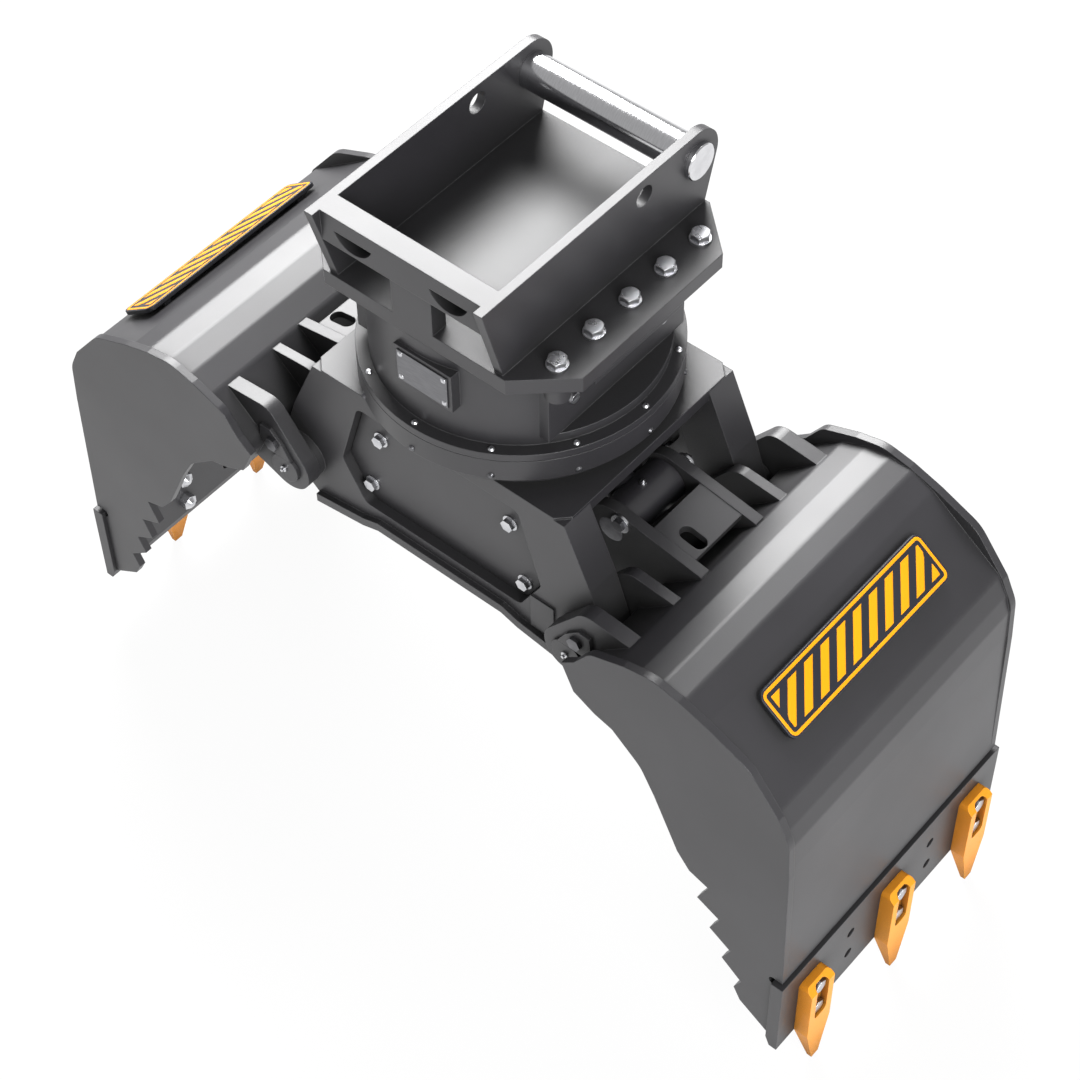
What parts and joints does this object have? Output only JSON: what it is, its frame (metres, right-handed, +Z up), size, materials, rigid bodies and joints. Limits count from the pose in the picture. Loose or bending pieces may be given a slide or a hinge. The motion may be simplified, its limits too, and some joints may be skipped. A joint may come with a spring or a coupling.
{
  "type": "sorting grapple",
  "caption": "Sorting grapple with a quick-coupler head, a rotator, a box frame and two hinged clamshell jaws with bolt-on teeth.",
  "frame": {"origin": "on the rotator axis, at the joint between the drum of the housing and its lip", "axes": "+Z up the rotator axis towards the coupler, +X from the left jaw to the right jaw, +Y along the jaw hinges towards the coupler axle"},
  "size_m": [1.424, 0.536, 1.204],
  "materials": {
    "black_paint": "satin charcoal black paint",
    "orange_paint": "satin orange paint",
    "stripe_sign": null,
    "tag_metal": "brushed, blank",
    "chrome": "hard chrome",
    "zinc": "zinc plated",
    "dark_steel": "blackened",
    "steel": "machined",
    "bronze": "machined bronze"
  },
  "bodies": {
    "head": {"coupler_head": "black_paint", "coupler_axle": "chrome", "flange_bolts": "zinc", "flange_washers": "zinc", "rotator_housing": "black_paint", "housing_screws": "zinc", "housing_plugs": "zinc", "type_plate": "tag_metal", "type_plate_rivets": "zinc", "slew_bearing": "steel"},
    "frame": {"slew_ring": "black_paint", "slew_ring_screws": "dark_steel", "rotary_union": "steel", "main_frame": "black_paint", "front_cover": "black_paint", "rear_cover": "black_paint", "cover_bolts": "zinc", "hinge_bushes": "bronze"},
    "right_jaw": {"jaw_right": "black_paint", "edge_right": "black_paint", "sign_right": "stripe_sign", "hinge_pins_right": "black_paint", "hinge_keepers_right": "black_paint", "keeper_bolts_right": "zinc", "pin_nipples_right": "zinc", "cylinder_pin_right": "dark_steel", "pin_clips_right": "zinc", "clip_bolts_right": "zinc", "teeth_right": "orange_paint", "tooth_bolts_right": "zinc", "tooth_nuts_right": "zinc"},
    "left_jaw": {"jaw_left": "black_paint", "edge_left": "black_paint", "sign_left": "stripe_sign", "hinge_pins_left": "black_paint", "hinge_keepers_left": "black_paint", "keeper_bolts_left": "zinc", "pin_nipples_left": "zinc", "cylinder_pin_left": "dark_steel", "pin_clips_left": "zinc", "clip_bolts_left": "zinc", "teeth_left": "orange_paint", "tooth_bolts_left": "zinc", "tooth_nuts_left": "zinc"},
    "barrel": {"cylinder_barrel": "black_paint", "cylinder_gland": "black_paint", "eye_bush_left": "bronze", "eye_nipple_left": "zinc"},
    "rod": {"piston_rod": "chrome", "piston": "steel", "eye_bush_right": "bronze", "eye_nipple_right": "zinc"}
  },
  "joints": [
    {"name": "rotator", "type": "hinge", "parent": "head", "child": "frame", "pos_m": [0, 0, 0], "axis": [0, 0, 1], "continuous": true},
    {"name": "right_jaw_hinge", "type": "hinge", "parent": "frame", "child": "right_jaw", "pos_m": [0.262, 0, -0.277], "axis": [0, 1, 0], "range_deg": [-8, 59]},
    {"name": "left_jaw_hinge", "type": "hinge", "parent": "frame", "child": "left_jaw", "pos_m": [-0.262, 0, -0.277], "axis": [0, -1, 0], "range_deg": [-8, 59]},
    {"name": "barrel_pin", "type": "hinge", "parent": "left_jaw", "child": "barrel", "pos_m": [-0.215, 0, -0.192], "axis": [0, 1, 0], "range_deg": [-8, 59]},
    {"name": "rod_pin", "type": "hinge", "parent": "right_jaw", "child": "rod", "pos_m": [0.215, 0, -0.192], "axis": [0, -1, 0], "range_deg": [-8, 59]}
  ],
  "couplings": [
    {"joint": "left_jaw_hinge", "follows": "right_jaw_hinge", "ratio": 1},
    {"joint": "barrel_pin", "follows": "right_jaw_hinge", "ratio": 1},
    {"joint": "rod_pin", "follows": "right_jaw_hinge", "ratio": 1}
  ]
}
